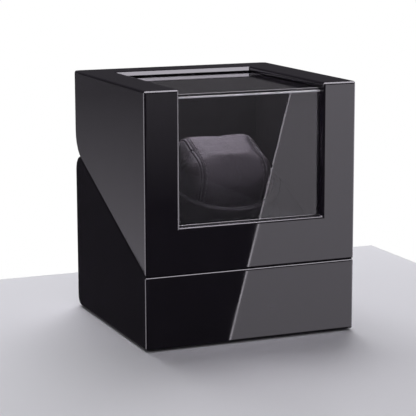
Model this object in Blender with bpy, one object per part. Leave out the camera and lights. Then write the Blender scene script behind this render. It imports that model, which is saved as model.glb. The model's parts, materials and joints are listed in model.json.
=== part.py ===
"""Watch winder box: a lacquered housing cut by a sloping plane into a base and a hinged lid.

The lid carries two panes that meet in an L, the base carries a velvet deck with a motor-driven rotor cup,
and a soft watch cushion clips into the cup. Metres, +Z up, the front faces -Y, and the origin is on the
ground under the middle of the box.
"""

import math

import bmesh
import bpy
from mathutils import Vector

MM = 0.001

# Driving dimensions of the housing.
WIDTH = 125 * MM
DEPTH = 121 * MM
HEIGHT = 142 * MM
FOOT_HEIGHT = 1.0 * MM
SPLIT_FRONT_Z = 41.3 * MM
SPLIT_REAR_Z = 96.1 * MM
SPLIT_GAP = 0.3 * MM
GAP = 0.3 * MM

HALF_W = WIDTH / 2
HALF_D = DEPTH / 2
SPLIT_ANGLE = math.atan2(SPLIT_REAR_Z - SPLIT_FRONT_Z, DEPTH)

# Walls and edge radii.
BASE_WALL = 8 * MM
LID_SIDE_WALL = 9 * MM
LID_FRONT_WALL = 4.0 * MM
LID_ROOF = 3.0 * MM
EDGE_RADIUS = 1.2 * MM
BASE_FOOT_RADIUS = 1.2 * MM
BASE_SPLIT_RADIUS = 1.3 * MM
LID_SPLIT_RADIUS = 0.7 * MM
SMALLEST_RADIUS = 0.15 * MM
REAR_EDGE_RADIUS = 4.5 * MM
BASE_REAR_FOOT_RADIUS = 5.5 * MM
BASE_REAR_TOP_RADIUS = 7.0 * MM
LID_REAR_FOOT_RADIUS = 17.5 * MM
LID_TOP_RADIUS = 1.5 * MM

# The window wraps from the front over the top.
WINDOW_HALF_W = 42.7 * MM
WINDOW_SILL_Z = 67.2 * MM
WINDOW_REAR_Y = 40.3 * MM
WINDOW_EDGE_RADIUS = 1.1 * MM
PANE_THICKNESS = 2.0 * MM
TOP_PANE_THICKNESS = 1.5 * MM
PANE_CHAMFER = 0.4 * MM
PANE_HALF_W = 48 * MM
PANE_OVERLAP = 5 * MM
PANE_FRAME_THICKNESS = 2.0 * MM
LINING_THICKNESS = 1.5 * MM

# The rotor turns about the normal of the split plane, through this point of that plane.
ROTOR_AXIS_Y = -5.0 * MM
CUP_RADIUS = 34 * MM
CUP_WALL = 2.2 * MM
CUP_TOP = 22 * MM
CUP_BOTTOM = -14 * MM
CUP_FLOOR = 2.5 * MM
DECK_TOP = -1.2 * MM
DECK_THICKNESS = 4.0 * MM
DECK_HOLE_RADIUS = 36 * MM
DECK_FRONT = -52.3 * MM
DECK_REAR = 60 * MM
CLEAT_SIZE = 8 * MM
CLEAT_FRONT = -40 * MM
CLEAT_REAR = 52 * MM
RING_HEIGHT = 1.6 * MM
RING_CHAMFER = 0.4 * MM
PULLEY_RADIUS = 24 * MM
PULLEY_TOP = CUP_BOTTOM - GAP
PULLEY_WIDTH = 6 * MM
GROOVE_DEPTH = 1.6 * MM
MOTOR_PULLEY_RADIUS = 6 * MM
SPINDLE_RADIUS = 3 * MM
BEARING_RADIUS = 6.5 * MM
HOUSING_RADIUS = 10 * MM
HOUSING_TOP = -22 * MM
CHASSIS_TOP = -34 * MM
CHASSIS_THICKNESS = 2 * MM
CHASSIS_LOW = (-50 * MM, -20 * MM)
CHASSIS_HIGH = (46 * MM, 34 * MM)
POST_X = 42.5 * MM
POST_RADIUS = 3 * MM
BEARING_THICKNESS = 3 * MM
MOTOR_X = -36 * MM
MOTOR_SLOPE = 8 * MM
MOTOR_SHAFT_RADIUS = 1.0 * MM
GEARBOX_RADIUS = 12 * MM
GEARBOX_LENGTH = 10.7 * MM
MOTOR_RADIUS = 11.4 * MM
MOTOR_LENGTH = 14.7 * MM

# The two rests the cushion sits on, and the cushion, in the deck's own axes.
REST_INNER_X = 12.5 * MM
REST_OUTER_X = 20 * MM
REST_HALF_LENGTH = 10 * MM
CUSHION_SIZE = (54 * MM, 44 * MM, 38 * MM)
CUSHION_BOTTOM = 4 * MM
CUSHION_ROUNDING = 13 * MM

# The magnets that hold the lid shut, in the deck's own axes.
MAGNET_X = 58.2 * MM
MAGNET_SLOPE = -46 * MM
MAGNET_RADIUS = 2.0 * MM
MAGNET_THICKNESS = 1.5 * MM
MAGNET_SUNK = 0.6 * MM

# The lid turns about this line along X.
HINGE_Y = 58.0 * MM
HINGE_Z = 94.2 * MM
HINGE_X = 30 * MM
KNUCKLE_LENGTH = 12 * MM
PIN_RADIUS = 0.95 * MM
PIN_CLEARANCE = 0.25 * MM
LEAF_THICKNESS = 1.0 * MM
BASE_LEAF_LENGTH = 17 * MM
LID_LEAF_LENGTH = 19 * MM
SLOT_HALF_DEPTH = 0.9 * MM

# The panel of controls, sunk into the rear wall of the base.
PANEL_HALF_W = 25 * MM
PANEL_LOW_Z = 21 * MM
PANEL_HIGH_Z = 49 * MM
PANEL_FACE_Y = 54.6 * MM
PANEL_THICKNESS = 2.5 * MM
BOARD_Y = 41 * MM
BOARD_THICKNESS = 1.6 * MM
BOARD_LOW = (-24 * MM, 19 * MM)
BOARD_HIGH = (34 * MM, 44 * MM)
CONTROL_Z = (PANEL_LOW_Z + PANEL_HIGH_Z) / 2
JACK_X = -16 * MM
KNOB_X = 15.5 * MM
SWITCH_TILT_Y = 54.2 * MM

# The bottom plate, let into the walls, and what it stands on.
REBATE_WALL = 4 * MM
PLATE_LOW_Z = 2.4 * MM
PLATE_THICKNESS = 3 * MM
FOOT_RADIUS = 6 * MM
FOOT_X = 45 * MM
FOOT_Y = 43 * MM
SCREW_X = 55.8 * MM
SCREW_Y = 30 * MM
SCREW_HEAD_RADIUS = 1.9 * MM

ROUND = 48


# Materials ------------------------------------------------------------------------------------------


def make_material(name, colour, roughness, metallic=0.0):
    """A Principled material with one colour and one finish."""
    material = bpy.data.materials.new(name)
    material.use_nodes = True
    material.diffuse_color = (*colour, 1.0)
    shader = material.node_tree.nodes["Principled BSDF"]
    shader.inputs["Base Color"].default_value = (*colour, 1.0)
    shader.inputs["Roughness"].default_value = roughness
    shader.inputs["Metallic"].default_value = metallic
    return material


FINISHES = {
    "lacquer": ((0.012, 0.011, 0.014), 0.08, 0.0),
    "pane": ((0.35, 0.35, 0.37), 0.03, 0.0),
    "black_trim": ((0.010, 0.010, 0.012), 0.25, 0.0),
    "velvet": ((0.018, 0.017, 0.020), 0.95, 0.0),
    "cushion_leather": ((0.022, 0.020, 0.022), 0.55, 0.0),
    "cup_plastic": ((0.015, 0.015, 0.017), 0.35, 0.0),
    "plastic": ((0.020, 0.020, 0.022), 0.5, 0.0),
    "steel": ((0.60, 0.60, 0.62), 0.3, 1.0),
    "brass": ((0.65, 0.50, 0.24), 0.3, 1.0),
    "board": ((0.02, 0.12, 0.05), 0.5, 0.0),
    "rubber": ((0.015, 0.015, 0.015), 0.85, 0.0),
    "fibreboard": ((0.28, 0.19, 0.11), 0.85, 0.0),
}


# Building blocks -------------------------------------------------------------------------------------


def add_object(name, mesh, finish, parent=None):
    """Links a mesh as a named object with its own copy of a finish."""
    piece = bpy.data.objects.new(name, mesh)
    bpy.context.scene.collection.objects.link(piece)
    mesh.materials.append(make_material(name, *FINISHES[finish]))
    piece.parent = parent
    return piece


def smooth(mesh, angle=40):
    """Smooth shading that keeps edges sharper than the angle."""
    mesh.shade_smooth()
    mesh.set_sharp_from_angle(angle=math.radians(angle))


def mesh_from(name, bm):
    """Turns a bmesh into a mesh with outward faces."""
    bmesh.ops.recalc_face_normals(bm, faces=bm.faces)
    mesh = bpy.data.meshes.new(name)
    bm.to_mesh(mesh)
    bm.free()
    smooth(mesh)
    return mesh


def add_empty(name, location, tilt=0.0):
    """An empty frame that pieces are placed in, tilted about X."""
    frame = bpy.data.objects.new(name, None)
    bpy.context.scene.collection.objects.link(frame)
    frame.location = location
    frame.rotation_euler = (tilt, 0, 0)
    return frame


def box_mesh(name, size, bevel=0.0, segments=2):
    """A box about its own centre, with its edges rounded."""
    bm = bmesh.new()
    bmesh.ops.create_cube(bm, size=1.0)
    bmesh.ops.scale(bm, vec=Vector(size), verts=bm.verts)
    if bevel:
        bmesh.ops.bevel(bm, geom=bm.edges[:], offset=bevel, segments=segments, profile=0.5, affect="EDGES")
    return mesh_from(name, bm)


def add_box(name, low, high, finish, parent=None, bevel=0.0, segments=2):
    """A box between two opposite corners."""
    low = Vector(low)
    high = Vector(high)
    piece = add_object(name, box_mesh(name, high - low, bevel, segments), finish, parent)
    piece.location = (low + high) / 2
    return piece


def loft_mesh(name, sections):
    """A closed solid through sections with the same number of points."""
    bm = bmesh.new()
    rings = [[bm.verts.new(point) for point in section] for section in sections]
    count = len(rings[0])
    for ring, following in zip(rings, rings[1:]):
        for i in range(count):
            j = (i + 1) % count
            bm.faces.new((ring[i], ring[j], following[j], following[i]))
    bm.faces.new(rings[0])
    bm.faces.new(rings[-1])
    return mesh_from(name, bm)


def add_prism(name, outline, low_x, high_x, finish, parent=None):
    """An outline in the YZ plane, extruded along X."""
    sections = [[(x, y, z) for y, z in outline] for x in (low_x, high_x)]
    return add_object(name, loft_mesh(name, sections), finish, parent)


def turned_mesh(name, outline, segments=ROUND):
    """An outline of (radius, height) points turned about Z. It closes on the axis or in a ring."""
    bm = bmesh.new()
    rings = []
    for radius, height in outline:
        if radius == 0:
            rings.append([bm.verts.new((0, 0, height))])
            continue
        angles = [2 * math.pi * i / segments for i in range(segments)]
        rings.append([bm.verts.new((radius * math.cos(a), radius * math.sin(a), height)) for a in angles])
    closed = outline[0][0] > 0
    pairs = list(zip(rings, rings[1:]))
    if closed:
        pairs.append((rings[-1], rings[0]))
    for ring, following in pairs:
        for i in range(segments):
            j = (i + 1) % segments
            corners = [ring[i % len(ring)], ring[j % len(ring)]]
            corners += [following[j % len(following)], following[i % len(following)]]
            bm.faces.new(list(dict.fromkeys(corners)))
    return mesh_from(name, bm)


def add_turned(name, outline, finish, parent=None, location=(0, 0, 0), segments=ROUND):
    """A turned piece, its axis along the parent's Z."""
    piece = add_object(name, turned_mesh(name, outline, segments), finish, parent)
    piece.location = location
    return piece


def disc_outline(radius, low, high):
    """The outline of a plain disc or rod."""
    return [(0, low), (radius, low), (radius, high), (0, high)]


def tube_outline(outer, inner, low, high, bevel=0.0):
    """The outline of a ring or sleeve, with its corners broken."""
    points = [(inner, low), (outer - bevel, low)]
    if bevel:
        points.append((outer, low + bevel))
        points.append((outer, high - bevel))
    else:
        points.append((outer, low))
    points += [(outer - bevel, high), (inner, high)]
    return points


def add_cutter(name, mesh, parent=None, location=(0, 0, 0)):
    """A hidden solid that only cuts."""
    cutter = bpy.data.objects.new(name, mesh)
    bpy.context.scene.collection.objects.link(cutter)
    cutter.parent = parent
    cutter.location = location
    cutter.hide_render = True
    cutter.display_type = "WIRE"
    return cutter


def box_cutter(name, low, high, parent=None):
    """A hidden box between two corners."""
    low = Vector(low)
    high = Vector(high)
    return add_cutter(name, box_mesh(name, high - low), parent, (low + high) / 2)


def cut(piece, *cutters):
    """Takes the cutters out of the piece."""
    for cutter in cutters:
        modifier = piece.modifiers.new(cutter.name, "BOOLEAN")
        modifier.operation = "DIFFERENCE"
        modifier.solver = "EXACT"
        modifier.object = cutter


# The housing's outline -------------------------------------------------------------------------------


def split_z(y, offset=0.0):
    """Height of the split plane at y, moved by an offset along its normal."""
    return SPLIT_FRONT_Z + (y + HALF_D) * math.tan(SPLIT_ANGLE) + offset / math.cos(SPLIT_ANGLE)


def rounded(corners, steps):
    """A closed outline with each corner (y, z, radius) replaced by an arc."""
    outline = []
    for i, (y, z, radius) in enumerate(corners):
        corner = Vector((y, z))
        before = (Vector(corners[i - 1][:2]) - corner).normalized()
        after = (Vector(corners[(i + 1) % len(corners)][:2]) - corner).normalized()
        half = before.angle(after) / 2
        centre = corner + (before + after).normalized() * radius / math.sin(half)
        start = (corner + before * radius / math.tan(half) - centre).normalized()
        end = (corner + after * radius / math.tan(half) - centre).normalized()
        for step in range(steps + 1):
            outline.append(centre + start.slerp(end, step / steps) * radius)
    return [(point.x, point.y) for point in outline]


def drawn_in(radius, inset):
    """A corner radius on an outline that is drawn in, which never quite becomes sharp."""
    return max(radius - inset, SMALLEST_RADIUS)


def base_outline(inset, rear_inset):
    """Side view of the base, drawn in by an inset that may differ at the rear."""
    front = -HALF_D + inset
    rear = HALF_D - rear_inset
    bottom = FOOT_HEIGHT + inset
    top = -SPLIT_GAP / 2 - inset
    corners = [
        (front, bottom, drawn_in(BASE_FOOT_RADIUS, inset)),
        (rear, bottom, drawn_in(BASE_REAR_FOOT_RADIUS, inset)),
        (rear, split_z(rear, top), drawn_in(BASE_REAR_TOP_RADIUS, inset)),
        (front, split_z(front, top), drawn_in(BASE_SPLIT_RADIUS, inset)),
    ]
    return rounded(corners, 4)


def lid_outline(inset, rear_inset):
    """Side view of the lid, drawn in the same way."""
    front = -HALF_D + inset
    rear = HALF_D - rear_inset
    bottom = SPLIT_GAP / 2 + inset
    top = HEIGHT - inset
    corners = [
        (front, split_z(front, bottom), drawn_in(LID_SPLIT_RADIUS, inset)),
        (rear, split_z(rear, bottom), drawn_in(LID_REAR_FOOT_RADIUS, inset)),
        (rear, top, drawn_in(LID_TOP_RADIUS, inset)),
        (front, top, drawn_in(LID_TOP_RADIUS, inset)),
    ]
    return rounded(corners, 5)


def rounding_inset(x, radius):
    """How far a side edge of this radius draws the outline in at x."""
    reach = max(0.0, abs(x) - (HALF_W - radius))
    return radius - math.sqrt(max(0.0, radius**2 - reach**2))


def housing_mesh(name, outline):
    """Lofts an outline across the width, rounding the side edges and the wider rear corners."""
    offsets = [REAR_EDGE_RADIUS * (1 - math.sin(math.radians(a))) for a in (0, 20, 36, 46)]
    offsets += [EDGE_RADIUS * (1 - math.sin(math.radians(a))) for a in (5, 30, 60, 90)]
    stations = [HALF_W - offset for offset in offsets]
    stations = [-x for x in reversed(stations)] + stations
    sections = []
    for x in stations:
        points = outline(rounding_inset(x, EDGE_RADIUS), rounding_inset(x, REAR_EDGE_RADIUS))
        sections.append([(x, y, z) for y, z in points])
    return loft_mesh(name, sections)


# Sub-parts -------------------------------------------------------------------------------------------


def add_base_shell():
    """The lower housing: four walls, open above for the deck and below for the bottom plate."""
    shell = add_object("base_shell", housing_mesh("base_shell", base_outline), "lacquer")
    inner_x = HALF_W - BASE_WALL
    inner_y = HALF_D - BASE_WALL
    cavity = box_cutter("base_cavity", (-inner_x, -inner_y, -MM), (inner_x, inner_y, HEIGHT))
    rebate_x = HALF_W - REBATE_WALL
    rebate_y = HALF_D - REBATE_WALL
    rebate_top = PLATE_LOW_Z + PLATE_THICKNESS + GAP
    rebate = box_cutter("plate_rebate", (-rebate_x, -rebate_y, -MM), (rebate_x, rebate_y, rebate_top))
    panel = box_cutter(
        "panel_opening",
        (-PANEL_HALF_W, inner_y - MM, PANEL_LOW_Z),
        (PANEL_HALF_W, HALF_D + MM, PANEL_HIGH_Z),
    )
    cut(shell, cavity, rebate, panel)
    return shell


def add_lid_shell():
    """The upper housing, with the window cut through its front and top."""
    shell = add_object("lid_shell", housing_mesh("lid_shell", lid_outline), "lacquer")
    inner_x = HALF_W - LID_SIDE_WALL
    front = -HALF_D + LID_FRONT_WALL
    rear = HALF_D - LID_SIDE_WALL
    cavity = box_cutter("lid_cavity", (-inner_x, front, 0), (inner_x, rear, HEIGHT - LID_ROOF))
    window = box_cutter(
        "lid_window",
        (-WINDOW_HALF_W, -HALF_D - MM, WINDOW_SILL_Z),
        (WINDOW_HALF_W, WINDOW_REAR_Y, HEIGHT + MM),
    )
    cut(shell, window)
    bevel = shell.modifiers.new("window_edges", "BEVEL")
    bevel.width = WINDOW_EDGE_RADIUS
    bevel.segments = 4
    bevel.limit_method = "ANGLE"
    bevel.angle_limit = math.radians(60)
    bevel.use_clamp_overlap = False
    cut(shell, cavity)
    return shell


def cut_hinge_slots(base_shell, lid_shell):
    """Slots in both rear walls that the hinge leaves sit in, each cut clear past the split."""
    half = KNUCKLE_LENGTH + 2 * GAP
    front = HINGE_Y - SLOT_HALF_DEPTH
    back = HINGE_Y + SLOT_HALF_DEPTH
    end_room = 2 * MM
    past_split = 6 * MM
    base_ends = (HINGE_Z - BASE_LEAF_LENGTH - end_room, HINGE_Z + past_split)
    lid_ends = (HINGE_Z - past_split, HINGE_Z + LID_LEAF_LENGTH + end_room)
    for side, x in (("left", -HINGE_X), ("right", HINGE_X)):
        for owner, shell, ends in (("base", base_shell, base_ends), ("lid", lid_shell, lid_ends)):
            low = (x - half, front, ends[0])
            high = (x + half, back, ends[1])
            cut(shell, box_cutter(f"slot_{owner}_{side}", low, high))


def add_hinge(side, x):
    """One barrel hinge: a rolled leaf in the base, one in the lid, and the pin through both."""
    half = LEAF_THICKNESS / 2
    inner = PIN_RADIUS + PIN_CLEARANCE
    outer = inner + LEAF_THICKNESS
    root = math.asin(half / inner)
    start = math.asin(half / outer)
    curl_end = math.radians(320)
    steps = 14
    for leaf, direction, low_x, length in (
        ("base", -1, x - KNUCKLE_LENGTH, BASE_LEAF_LENGTH),
        ("lid", 1, x + GAP, LID_LEAF_LENGTH),
    ):
        outline = [(-half, length), (half, length)]
        for i in range(steps + 1):
            angle = start + (curl_end - start) * i / steps
            outline.append((outer * math.sin(angle), outer * math.cos(angle)))
        for i in range(steps + 1):
            angle = curl_end + (-root - curl_end) * i / steps
            outline.append((inner * math.sin(angle), inner * math.cos(angle)))
        placed = [(HINGE_Y + y, HINGE_Z + direction * z) for y, z in outline]
        add_prism(f"hinge_{side}_{leaf}_leaf", placed, low_x, low_x + KNUCKLE_LENGTH - GAP, "steel")
    pin_outline = [(0, -KNUCKLE_LENGTH), (PIN_RADIUS, -KNUCKLE_LENGTH), (PIN_RADIUS, KNUCKLE_LENGTH)]
    pin_outline.append((0, KNUCKLE_LENGTH))
    pin = add_turned(f"hinge_{side}_pin", pin_outline, "steel", location=(x, HINGE_Y, HINGE_Z), segments=16)
    pin.rotation_euler = (0, math.pi / 2, 0)


def add_panes():
    """The front pane and the top pane, and the black frames that hold their edges from inside."""
    pane_front = -HALF_D + LID_FRONT_WALL + GAP
    pane_back = pane_front + PANE_THICKNESS
    pane_top = HEIGHT - LID_ROOF - GAP
    pane_low = pane_top - TOP_PANE_THICKNESS
    frame_half_w = HALF_W - LID_SIDE_WALL - GAP
    opening_half_w = WINDOW_HALF_W + GAP
    add_box(
        "front_pane",
        (-PANE_HALF_W, pane_front, WINDOW_SILL_Z - PANE_OVERLAP),
        (PANE_HALF_W, pane_back, pane_low - GAP),
        "pane",
        bevel=PANE_CHAMFER,
        segments=1,
    )
    add_box(
        "top_pane",
        (-PANE_HALF_W, pane_front, pane_low),
        (PANE_HALF_W, WINDOW_REAR_Y + PANE_OVERLAP, pane_top),
        "pane",
        bevel=PANE_CHAMFER,
        segments=1,
    )
    frame_front = pane_back + GAP
    frame_back = frame_front + PANE_FRAME_THICKNESS
    frame_top = pane_low - GAP
    frame_low = frame_top - PANE_FRAME_THICKNESS
    front_frame = add_box(
        "front_pane_frame",
        (-frame_half_w, frame_front, split_z(frame_back, 1.2 * MM)),
        (frame_half_w, frame_back, frame_low - GAP),
        "black_trim",
    )
    cut(
        front_frame,
        box_cutter(
            "front_frame_opening",
            (-opening_half_w, frame_front - MM, WINDOW_SILL_Z),
            (opening_half_w, frame_back + MM, HEIGHT),
        ),
    )
    top_frame = add_box(
        "top_pane_frame",
        (-frame_half_w, frame_front, frame_low),
        (frame_half_w, HALF_D - LID_SIDE_WALL - GAP, frame_top),
        "black_trim",
    )
    cut(
        top_frame,
        box_cutter(
            "top_frame_opening",
            (-opening_half_w, -HALF_D, frame_low - MM),
            (opening_half_w, WINDOW_REAR_Y, HEIGHT),
        ),
    )
    return frame_back, frame_low


def add_lid_linings(front_y, top_z):
    """Velvet-covered boards inside the lid: two sides and the rear."""
    outer_x = HALF_W - LID_SIDE_WALL - GAP
    rear_y = HALF_D - LID_SIDE_WALL - GAP
    low_y = front_y + GAP
    high_z = top_z - GAP
    lift = 1.0 * MM
    for side, x in (("left", -outer_x), ("right", outer_x - LINING_THICKNESS)):
        outline = [(low_y, split_z(low_y, lift)), (rear_y - 3 * MM, split_z(rear_y - 3 * MM, lift))]
        outline += [(rear_y, split_z(rear_y, 3 * lift)), (rear_y, high_z), (low_y, high_z)]
        add_prism(f"lid_lining_{side}", outline, x, x + LINING_THICKNESS, "velvet")
    half_w = outer_x - LINING_THICKNESS - GAP
    low = (-half_w, rear_y - LINING_THICKNESS, split_z(rear_y, 3 * lift))
    add_box("lid_lining_rear", low, (half_w, rear_y, high_z), "velvet")


def add_magnets(deck, base_shell, lid_shell):
    """Two pairs of disc magnets near the front of the side walls, facing each other across the split."""
    pocket_radius = MAGNET_RADIUS + 0.25 * MM
    pocket_depth = MAGNET_SUNK + MAGNET_THICKNESS + GAP
    for side, x in (("left", -MAGNET_X), ("right", MAGNET_X)):
        place = (x, MAGNET_SLOPE, 0)
        for shell, owner, direction in ((base_shell, "base", -1), (lid_shell, "lid", 1)):
            name = f"magnet_pocket_{owner}_{side}"
            low, high = sorted((-direction * MM, direction * pocket_depth))
            mesh = turned_mesh(name, disc_outline(pocket_radius, low, high), 24)
            cut(shell, add_cutter(name, mesh, deck, place))
            low, high = sorted((direction * MAGNET_SUNK, direction * (MAGNET_SUNK + MAGNET_THICKNESS)))
            outline = disc_outline(MAGNET_RADIUS, low, high)
            add_turned(f"magnet_{owner}_{side}", outline, "steel", deck, place, 24)


def add_deck(deck):
    """The velvet deck, its trim ring and the cleats under its sides."""
    half_w = HALF_W - BASE_WALL - GAP
    low = DECK_TOP - DECK_THICKNESS
    panel = add_box("deck_panel", (-half_w, DECK_FRONT, low), (half_w, DECK_REAR, DECK_TOP), "velvet", deck)
    hole = disc_outline(DECK_HOLE_RADIUS, low - MM, MM)
    cut(panel, add_cutter("deck_hole", turned_mesh("deck_hole", hole, 64), deck))
    ring_inner = DECK_HOLE_RADIUS - MM
    ring_outer = DECK_HOLE_RADIUS + 3 * MM
    seat = DECK_TOP + GAP
    ring_top = seat + RING_HEIGHT
    outline = [
        (ring_inner, low),
        (DECK_HOLE_RADIUS - GAP, low),
        (DECK_HOLE_RADIUS - GAP, seat),
        (ring_outer, seat),
        (ring_outer, ring_top - RING_CHAMFER),
        (ring_outer - RING_CHAMFER, ring_top),
        (ring_inner + RING_CHAMFER, ring_top),
        (ring_inner, ring_top - RING_CHAMFER),
    ]
    add_turned("deck_ring", outline, "black_trim", deck, segments=64)
    cleat_top = low - GAP
    for side, x in (("left", -half_w), ("right", half_w - CLEAT_SIZE)):
        add_box(
            f"deck_cleat_{side}",
            (x, CLEAT_FRONT, cleat_top - CLEAT_SIZE),
            (x + CLEAT_SIZE, CLEAT_REAR, cleat_top),
            "fibreboard",
            deck,
        )


def add_rotor(deck):
    """All that turns with the watch: cup, lining, cushion rests, pulley and spindle."""
    top = CUP_TOP
    bottom = CUP_BOTTOM
    inner = CUP_RADIUS - CUP_WALL
    floor = bottom + CUP_FLOOR
    rim = CUP_RADIUS + 1.3 * MM
    outline = [(0, bottom), (CUP_RADIUS - 4 * MM, bottom), (CUP_RADIUS - 1.2 * MM, bottom + 1.2 * MM)]
    outline += [(CUP_RADIUS, bottom + 4 * MM), (CUP_RADIUS, top - 2.6 * MM), (rim, top - 1.8 * MM)]
    outline += [(rim, top - 0.5 * MM), (rim - 0.5 * MM, top), (inner + 0.5 * MM, top)]
    outline += [(inner, top - 0.5 * MM), (inner, floor), (0, floor)]
    add_turned("rotor_cup", outline, "cup_plastic", deck, segments=64)
    lining = tube_outline(inner - GAP, inner - GAP - MM, floor + GAP, top - 1.5 * MM)
    add_turned("cup_lining", lining, "velvet", deck, segments=64)
    for side, low_x, high_x in (
        ("left", -REST_OUTER_X, -REST_INNER_X),
        ("right", REST_INNER_X, REST_OUTER_X),
    ):
        add_box(
            f"cushion_rest_{side}",
            (low_x, -REST_HALF_LENGTH, floor + GAP),
            (high_x, REST_HALF_LENGTH, CUSHION_BOTTOM - GAP),
            "cup_plastic",
            deck,
            bevel=0.8 * MM,
        )
    add_pulley("rotor_pulley", PULLEY_RADIUS, SPINDLE_RADIUS + GAP, deck, (0, 0, 0))
    outline = disc_outline(SPINDLE_RADIUS, CHASSIS_TOP + 2 * GAP, PULLEY_TOP - GAP)
    add_turned("rotor_spindle", outline, "steel", deck, segments=24)


def add_pulley(name, radius, bore, deck, location):
    """A belt pulley with a flat-bottomed groove half-way up its rim."""
    middle = PULLEY_TOP - PULLEY_WIDTH / 2
    groove = radius - GROOVE_DEPTH
    outline = [(bore, PULLEY_TOP - PULLEY_WIDTH), (radius, PULLEY_TOP - PULLEY_WIDTH)]
    outline += [(radius, middle - 2.0 * MM), (groove, middle - 1.5 * MM), (groove, middle + 1.5 * MM)]
    outline += [(radius, middle + 2.0 * MM), (radius, PULLEY_TOP - GAP), (bore, PULLEY_TOP - GAP)]
    add_turned(name, outline, "plastic", deck, location, 40)


def add_cushion(deck):
    """The watch cushion, a soft rounded block."""
    width, length, height = CUSHION_SIZE
    add_box(
        "watch_cushion",
        (-width / 2, -length / 2, CUSHION_BOTTOM),
        (width / 2, length / 2, CUSHION_BOTTOM + height),
        "cushion_leather",
        deck,
        bevel=CUSHION_ROUNDING,
        segments=5,
    )


def add_drive(deck):
    """The fixed drive: chassis plate on four posts, bearing housing, bearings, gearmotor and belt."""
    chassis_low = CHASSIS_TOP - CHASSIS_THICKNESS
    chassis = add_box(
        "chassis_plate", (*CHASSIS_LOW, chassis_low), (*CHASSIS_HIGH, CHASSIS_TOP), "steel", deck
    )
    hole = disc_outline(3.5 * MM, chassis_low - MM, CHASSIS_TOP + MM)
    motor = (MOTOR_X, MOTOR_SLOPE, 0)
    cut(chassis, add_cutter("motor_shaft_hole", turned_mesh("motor_shaft_hole", hole, 24), deck, motor))

    post_low = CHASSIS_TOP + GAP
    post_high = DECK_TOP - DECK_THICKNESS - GAP
    for row, slope in (("front", -16 * MM), ("rear", 30 * MM)):
        for side, x in (("left", -POST_X), ("right", POST_X)):
            outline = disc_outline(POST_RADIUS, post_low, post_high)
            add_turned(f"chassis_post_{row}_{side}", outline, "brass", deck, (x, slope, 0), 12)

    seat = CHASSIS_TOP + GAP
    bore = BEARING_RADIUS + GAP
    flange = HOUSING_RADIUS + 4 * MM
    flange_top = seat + 2 * MM
    outline = [(bore, seat), (flange, seat), (flange, flange_top)]
    outline += [(HOUSING_RADIUS, flange_top), (HOUSING_RADIUS, HOUSING_TOP), (bore, HOUSING_TOP)]
    add_turned("bearing_housing", outline, "plastic", deck, segments=40)
    upper_low = HOUSING_TOP - BEARING_THICKNESS - 0.5 * MM
    for name, low in (("lower_bearing", seat + 0.7 * MM), ("upper_bearing", upper_low)):
        ring = tube_outline(
            BEARING_RADIUS, SPINDLE_RADIUS + GAP, low, low + BEARING_THICKNESS, 0.3 * MM
        )
        add_turned(name, ring, "steel", deck, segments=40)

    gearbox_top = chassis_low - GAP
    gearbox_low = gearbox_top - GEARBOX_LENGTH
    outline = [(0, gearbox_low), (GEARBOX_RADIUS, gearbox_low), (GEARBOX_RADIUS, gearbox_top - 0.5 * MM)]
    outline += [(GEARBOX_RADIUS - 0.5 * MM, gearbox_top), (0, gearbox_top)]
    add_turned("motor_gearbox", outline, "steel", deck, motor, 40)
    can_top = gearbox_low - GAP
    can_low = can_top - MOTOR_LENGTH
    outline = [(0, can_low), (MOTOR_RADIUS - MM, can_low), (MOTOR_RADIUS, can_low + MM)]
    outline += [(MOTOR_RADIUS, can_top), (0, can_top)]
    add_turned("motor_can", outline, "steel", deck, motor, 40)
    outline = disc_outline(MOTOR_SHAFT_RADIUS, gearbox_top + GAP, PULLEY_TOP - 2 * GAP)
    add_turned("motor_shaft", outline, "steel", deck, motor, 16)
    add_pulley("motor_pulley", MOTOR_PULLEY_RADIUS, MOTOR_SHAFT_RADIUS + GAP, deck, motor)
    add_belt(deck)


def add_belt(deck):
    """A round belt about both pulleys: two arcs joined by the pulleys' outer tangents."""
    belt_radius = 0.9 * MM
    large = PULLEY_RADIUS - GROOVE_DEPTH + GAP + belt_radius
    small = MOTOR_PULLEY_RADIUS - GROOVE_DEPTH + GAP + belt_radius
    distance = math.hypot(MOTOR_X, MOTOR_SLOPE)
    heading = math.atan2(MOTOR_SLOPE, MOTOR_X)
    spread = math.acos((large - small) / distance)
    points = []
    for radius, centre, start, sweep, steps in (
        (large, (0, 0), heading + spread, 2 * (math.pi - spread), 30),
        (small, (MOTOR_X, MOTOR_SLOPE), heading - spread, 2 * spread, 12),
    ):
        for i in range(steps + 1):
            angle = start + sweep * i / steps
            points.append((centre[0] + radius * math.cos(angle), centre[1] + radius * math.sin(angle)))
    curve = bpy.data.curves.new("drive_belt", "CURVE")
    curve.dimensions = "3D"
    curve.bevel_depth = belt_radius
    curve.bevel_resolution = 1
    curve.render_resolution_u = 0
    spline = curve.splines.new("POLY")
    spline.points.add(len(points) - 1)
    middle = PULLEY_TOP - PULLEY_WIDTH / 2
    for point, (x, slope) in zip(spline.points, points):
        point.co = (x, slope, middle, 1)
    spline.use_cyclic_u = True
    belt = bpy.data.objects.new("drive_belt", curve)
    bpy.context.scene.collection.objects.link(belt)
    curve.materials.append(make_material("drive_belt", *FINISHES["rubber"]))
    belt.parent = deck


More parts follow.
